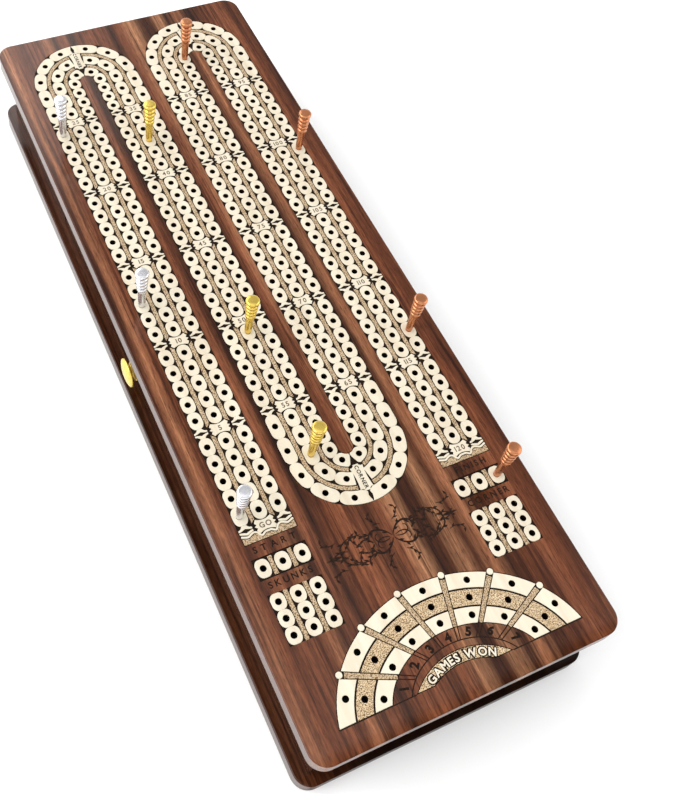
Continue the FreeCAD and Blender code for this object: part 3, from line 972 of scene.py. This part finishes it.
def fan_spokes(stippled, white, dark):
    """Stippled dividers with a white stud at the rim, and dark lines that lead on to the number arch."""
    for angle in FAN_STUD_ANGLES:
        spoke = Spoke(angle)
        start = spoke_meets(spoke, FAN_INNER) + spoke.along * LINE
        stop = spoke.head - spoke.along * (FAN_STUD_RADIUS + LINE)
        sides = [spoke.half_width(point) for point in (start, stop)]
        outline = [start + spoke.right * sides[0], stop + spoke.right * sides[1],
                   stop - spoke.right * sides[1], start - spoke.right * sides[0]]
        stippled.tile([tuple(point) for point in outline], z1=STRIP_TOP)
        white.tile(circle(spoke.head, FAN_STUD_RADIUS - FAN_STUD_INSET, FAN_STUD_SIDES), ease=FAN_STUD_EASE)
        edge = spoke_meets(spoke, NUMBER_ARCH)
        for side in SIDES:
            line = [tuple(point + spoke.right * (side * spoke.half_width(point))) for point in (edge, start)]
            dark.ribbon(line, DRAWN, LINE_FOOT, LINE_TOP)


def spoke_meets(spoke, radii):
    """The point where a spoke's middle crosses the ellipse with these half axes."""
    def is_inside(distance):
        point = spoke.foot + spoke.along * distance
        return (point.x / radii[0]) ** 2 + ((point.y - FAN_CENTRE_Y) / radii[1]) ** 2 < 1.0

    return spoke.foot + spoke.along * last_before(0.0, (spoke.head - spoke.foot).length, is_inside)


def arch(half_chord, rise, parts=24):
    """A flat circular arch over the fan's floor line, from left to right."""
    radius = (half_chord ** 2 + rise ** 2) / (2.0 * rise)
    reach = math.asin(half_chord / radius)
    angles = [reach * (2.0 * part / parts - 1.0) for part in range(parts + 1)]
    return [(radius * math.sin(a), FAN_FLOOR_Y + rise - radius + radius * math.cos(a)) for a in angles]


def banner(stippled):
    """The arched band that carries the words."""
    outer, inner = (arch(half, rise) for half, rise in zip(BANNER_HALF_CHORDS, BANNER_RISES))
    outline = outer + inner[::-1]
    stippled.tile(inset(outline, LINE), z1=STRIP_TOP, ease=FIELD_EASE)


def number_arch(dark):
    """The thin lines of the number zone: the arch that the spokes reach, and the fan's base line."""
    limit = math.degrees(math.acos((FAN_FLOOR_Y - FAN_CENTRE_Y) / NUMBER_ARCH[1]))
    angles = [math.radians(limit * (2.0 * part / ARCH_PARTS - 1.0)) for part in range(ARCH_PARTS + 1)]
    line = [(NUMBER_ARCH[0] * math.sin(a), FAN_CENTRE_Y + NUMBER_ARCH[1] * math.cos(a)) for a in angles]
    dark.ribbon(line, DRAWN, LINE_FOOT, LINE_TOP)
    reach = fan_point(FAN_RINGS, floor_angle(FAN_RINGS, 1))[0]
    for side in SIDES:
        ends = [(side * x, FAN_FLOOR_Y) for x in (BANNER_HALF_CHORDS[0], reach)]
        dark.ribbon(ends, DRAWN, LINE_FOOT, LINE_TOP)


# -------- numbers and words

class Lettering:
    """Sets plain letters, one mesh for each, along a line or an arc."""

    def __init__(self):
        self.cache = {}

    def glyph(self, char, weight, rim):
        """The mesh of a character one unit high, thickened by weight and a round rim, and its sides."""
        key = (char, weight, rim)
        if key not in self.cache:
            curve = bpy.data.curves.new("glyph", "FONT")
            curve.body = char
            curve.size = 1.0
            curve.offset = weight
            curve.extrude = 0.5
            curve.bevel_depth = rim
            curve.resolution_u = 3
            holder = add_object("glyph", curve)
            graph = bpy.context.evaluated_depsgraph_get()
            mesh = bpy.data.meshes.new_from_object(holder.evaluated_get(graph))
            xs = [vertex.co.x for vertex in mesh.vertices]
            self.cache[key] = (mesh, min(xs), max(xs))
            bpy.data.objects.remove(holder)
            bpy.data.curves.remove(curve)
        return self.cache[key]

    def write(self, sheet, text, size, place, z, thickness, weight=0.0, gap=0.12, rim=0.0):
        """Writes text centred on a path: place(distance) gives the point and the turn at that distance."""
        scale = size / CAP_HEIGHT
        glyphs = [None if char == " " else self.glyph(char, weight, rim) for char in text]
        widths = [glyph[2] - glyph[1] if glyph else SPACE_WIDTH for glyph in glyphs]
        width = sum(widths) + gap * (len(text) - 1)
        cursor = -width / 2.0
        for glyph, wide in zip(glyphs, widths):
            if glyph:
                mesh, left, right = glyph
                (x, y), turn = place((cursor + wide / 2.0) * scale)
                matrix = (Matrix.Translation((x * MM, y * MM, z * MM)) @ Matrix.Rotation(turn, 4, "Z")
                          @ Matrix.Diagonal((scale * MM, scale * MM, thickness * MM, 1))
                          @ Matrix.Translation((-(left + right) / 2.0, -CAP_HEIGHT / 2.0, 0)))
                copy = mesh.copy()
                copy.transform(matrix)
                sheet.bm.from_mesh(copy)
                bpy.data.meshes.remove(copy)
            cursor += wide + gap


def straight_line(centre, turn=0.0):
    """A path for letters: a straight line through centre."""
    return lambda distance: ((centre[0] + distance * math.cos(turn),
                              centre[1] + distance * math.sin(turn)), turn)


def arc_line(centre, radius):
    """A path for letters: over the top of a circle."""
    return lambda distance: ((centre[0] + radius * math.sin(distance / radius),
                              centre[1] + radius * math.cos(distance / radius)), -distance / radius)


def plaque_numbers(letters, ink):
    """Each plaque counts the holes up to it, and the one that the count starts from says GO."""
    for column, group, centre in plaque_rows():
        first, step = COLUMN_NUMBERS[column]
        text = str(first + step * group or "GO")
        path = straight_line(centre)
        letters.write(ink, text, PLAQUE_SIZE, path, TILE_TOP, TILE_INK, weight=0.02, gap=0.18)


def words(letters, ink):
    """Plain words that name each block of holes, burnt into the rosewood."""
    for column, texts in WORDS.items():
        for text, y in zip(texts, WORD_Y):
            path = straight_line((column_x(column), y))
            letters.write(ink, text, WORD_SIZE, path, TOP, WOOD_INK, weight=0.02, gap=WORD_GAPS[len(text)])
    for turn in TURNS:
        path = straight_line(apex_centre(turn), -math.pi / 2.0)
        letters.write(ink, "CORNER", TICKET_SIZE, path, TILE_TOP, TILE_INK, weight=0.03, gap=0.14)


def fan_numbers(letters, ink):
    """The numbers of the games, each on the ray from the spokes' focus to the middle of its sector."""
    middle = [(inner + arch_radius) / 2.0 for inner, arch_radius in zip(FAN_INNER, NUMBER_ARCH)]
    for number, degrees in enumerate(FAN_HOLE_ANGLES, 1):
        ray = Spoke(degrees)
        place = spoke_meets(ray, middle)
        turn = -math.atan2(ray.along.x, ray.along.y)
        path = straight_line(tuple(place), turn)
        letters.write(ink, str(number), FAN_NUMBER_SIZE, path, TOP, WOOD_INK, weight=0.05)


def banner_words(letters, ink, white):
    """The words on the band, in pale letters over dark and wider ones."""
    middle_rise = sum(BANNER_RISES) / 2.0
    half = sum(BANNER_HALF_CHORDS) / 2.0
    radius = (half ** 2 + middle_rise ** 2) / (2.0 * middle_rise)
    path = arc_line((0.0, FAN_FLOOR_Y + middle_rise - radius), radius)
    letters.write(ink, BANNER_TEXT, BANNER_SIZE, path, STRIP_TOP, BANNER_INK,
                  gap=BANNER_GAP - 2.0 * BANNER_RIM, rim=BANNER_RIM)
    letters.write(white, BANNER_TEXT, BANNER_SIZE, path, STRIP_TOP + BANNER_LIFT, BANNER_FACE,
                  weight=BANNER_WEIGHT, gap=BANNER_GAP - 2.0 * BANNER_WEIGHT)


# -------- ornaments

def curl(start, heading, length, tightness, hand, parts=28):
    """A line that winds up as it goes: its bend grows along its length."""
    point = Vector(start)
    line = [tuple(point)]
    angle = heading
    for part in range(parts):
        share = (part + 0.5) / parts
        angle += hand * tightness * (0.25 + 1.5 * share * share) / parts
        point = point + Vector((math.cos(angle), math.sin(angle))) * (length / parts)
        line.append(tuple(point))
    return line


def tapered(count, middle, ends):
    """The widths of a stroke that is thin at its ends."""
    return [ends + (middle - ends) * math.sin(math.pi * index / (count - 1)) ** 0.8 for index in range(count)]


def leaf(start, heading, length, width):
    """A small pointed leaf, as an outline."""
    along = Vector((math.cos(heading), math.sin(heading)))
    across = Vector((-along.y, along.x))
    shares = (0.0, 0.15, 0.35, 0.55, 0.75, 0.9, 1.0)

    def edge(share, half_width):
        swell = half_width * math.sin(math.pi * share ** 0.7)
        return tuple(Vector(start) + along * (length * share) + across * swell)

    upper = [edge(share, 0.6 * width) for share in shares]
    return upper + [edge(share, -0.4 * width) for share in reversed(shares[1:-1])]


def sprays(dark, line, turned_to, length):
    """Small leaves along both sides of a stroke."""
    for number, index in enumerate(range(SPRAY_START, len(line) - SPRAY_START, SPRAY_STEP)):
        a, b = Vector(line[index - 1]), Vector(line[index + 1])
        heading = math.atan2(b.y - a.y, b.x - a.x)
        side = 1 if number % 2 else -1
        reach = length * (1.0 - SPRAY_SHRINK * number)
        outline = leaf(line[index], heading + side * SPRAY_TURN, reach, length * LEAF_WIDTH)
        dark.tile(turned_to(outline), z0=LINE_FOOT, z1=LINE_TOP, ease=LEAF_EASE)


def scroll(dark):
    """A plain foliate scroll, the same in all four quarters, burnt between the blocks."""
    for side in SIDES:
        for up in SIDES:
            def turned_to(line):
                return [(side * x, SCROLL_Y + up * y) for x, y in line]

            for start, heading, length, tightness, hand, width, leaf_length in SCROLL_STROKES:
                line = curl(start, heading, length, tightness, hand)
                dark.ribbon(turned_to(line), tapered(len(line), width, STROKE_END), LINE_FOOT, LINE_TOP)
                if leaf_length:
                    sprays(dark, line, turned_to, leaf_length)
        diamond = [(side * x, SCROLL_Y + y) for x, y in SCROLL_DIAMOND]
        dark.tile(diamond, z0=LINE_FOOT, z1=LINE_TOP, ease=LEAF_EASE)


# -------- pegs and knob

def bulge(radius, half_height, middle, parts=6):
    """The half-round rim of a turned ring."""
    angles = [math.pi * (part / parts - 0.5) for part in range(parts + 1)]
    return [(radius - half_height * RING_SWELL * (1.0 - math.cos(a)), middle + half_height * math.sin(a))
            for a in angles]


def peg_profile():
    """Tapered foot, smooth shank that widens upwards, four rings and a head with rounded edges."""
    profile = [(0.3, -PEG_DEPTH), (0.85, -PEG_DEPTH), (1.2, 1.0 - PEG_DEPTH), (1.22, 0.2), (1.45, 0.9),
               (1.55, 2.0), (1.75, 10.9)]
    for index, radius in enumerate(PEG_RINGS):
        profile += bulge(radius, PEG_RING_HALF, PEG_FIRST_RING + index * PEG_RING_STEP)
    return profile + [(2.1, 20.6), (2.55, 21.0), (2.8, 21.35), (2.88, 21.8), (2.85, 22.4), (2.6, 22.8),
                      (2.2, 22.95), (1.2, PEG_HEIGHT), (0.3, PEG_HEIGHT)]


def knob_profile():
    """A foot, a hollow waist and a domed disc."""
    waist = [(4.6, 0.0), (4.6, 1.3), (4.0, 1.7), (3.5, 2.1), (3.4, 2.6), (3.7, 3.1), (4.4, 3.5), (6.3, 3.6)]
    dome = [(KNOB_RADIUS * math.cos(a), KNOB_REACH - KNOB_RISE + KNOB_RISE * math.sin(a))
            for a in (math.radians(angle) for angle in (0, 15, 30, 45, 60, 75, 87))]
    return [(0.5, 0.0)] + waist + [(KNOB_RADIUS, 3.75)] + dome


def dress(name, material):
    """Gives a CAD node its material."""
    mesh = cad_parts[name].data
    mesh.materials.clear()
    mesh.materials.append(material)


def turned_peg(node):
    """A smooth peg in place of the CAD node of that name."""
    low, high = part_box(node)
    _, metal_name, number = node.split("_")
    place = ((low.x + high.x) / 2.0 / MM, (low.y + high.y) / 2.0 / MM, TOP)
    turned("turned_" + node, peg_profile(), place, metals[metal_name], "%s_peg_%s" % (metal_name, number),
           node)


# -------- put together

make_camera()
make_studio()

maple_wood = maple("maple", 0.94)
pale_maple = maple("pale_maple")
strip_stipple = stipple("stippled_maple", (0.56, 0.43, 0.285), (0.115, 0.07, 0.032), 2000.0)
fan_stipple = stipple("stippled_maple_deep", (0.70, 0.54, 0.35), (0.085, 0.05, 0.02), 2500.0)
char = burnt("burnt_line", (0.004, 0.002, 0.001), (0.018, 0.009, 0.005))
brand = burnt("burnt_ornament", (0.006, 0.003, 0.002), (0.028, 0.013, 0.007))
scorch = burnt("scorched_number", (0.065, 0.045, 0.028), (0.15, 0.105, 0.065))
top_wood = rosewood("rosewood_top", brown_tones(1.0), bored=True)
# its foot end carries a painted shadow
low_wood = rosewood("rosewood_dark", brown_tones(0.47, 0.4), seed=5.0, foot_gloss=0.006, foot_shade=0.9)
# the walls and drawer front: the rosewood darkened far below the boards' tones, painted shade for their place
# under the top board's overhang
wall_wood = rosewood("rosewood_walls", brown_tones(0.27, 0.6), seed=9.0)
drawer_wood = plain_wood("drawer_wood", (0.40, 0.22, 0.10), (0.62, 0.40, 0.20))
metals = {
    "silver": metal("satin_silver", (0.80, 0.80, 0.83)),
    "gold": metal("satin_gold", (0.86, 0.62, 0.13)),
    "copper": metal("satin_copper", (0.60, 0.24, 0.11)),
    "brass": metal("satin_brass", (0.95, 0.68, 0.15), metallic=0.55),
    "steel": metal("screw_steel", (0.55, 0.55, 0.56), metallic=1.0),
}

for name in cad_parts:
    if name.endswith("_inlay"):
        dress(name, char)
    elif name.startswith("peg_"):
        turned_peg(name)
    elif name in WALLS or name == "drawer_front":
        dress(name, wall_wood)
    elif name.startswith(("drawer_", "card_")) and name != "drawer_knob":
        dress(name, drawer_wood)
dress("top_board", top_wood)
dress("bottom_board", low_wood)
dress("knob_screw", metals["steel"])
turned("knob", knob_profile(), (KNOB_FOOT_X, 0, KNOB_HEIGHT), metals["brass"], "drawer",
       "drawer_knob", outward=True)

track, plates, track_strips, fan_white, fan_stippled = (Sheet() for _ in range(5))
ink, pale_ink, banner_ink, banner_white = (Sheet() for _ in range(4))
lines = Sheet(STROKE_LIFT)
straight_beads(track)
turn_beads(track)
block_tiles(track, track_strips)
plaques(plates)
apex_tickets(plates)
strips(track_strips)
fan_tiles(fan_white, fan_stippled)
fan_spokes(track_strips, fan_white, lines)
banner(fan_stippled)
number_arch(lines)
scroll(lines)
letters = Lettering()
plaque_numbers(letters, pale_ink)
words(letters, ink)
fan_numbers(letters, ink)
banner_words(letters, banner_ink, banner_white)
for mesh, _, _ in letters.cache.values():
    bpy.data.meshes.remove(mesh)

track.finish("track_beads", maple_wood, "maple_inlay")
plates.finish("number_plaques", maple_wood, "maple_inlay")
track_strips.finish("stippled_strips", strip_stipple, "maple_inlay")
fan_white.finish("fan_tiles", pale_maple, "maple_inlay")
fan_stippled.finish("fan_stippled_tiles", fan_stipple, "maple_inlay")
lines.finish("burnt_lines", brand, "top_rosewood")
ink.finish("burnt_words", char, "maple_inlay")
pale_ink.finish("plaque_numbers", scorch, "maple_inlay")
banner_ink.finish("banner_shadow", char, "maple_inlay")
banner_white.finish("banner_letters", pale_maple, "maple_inlay")
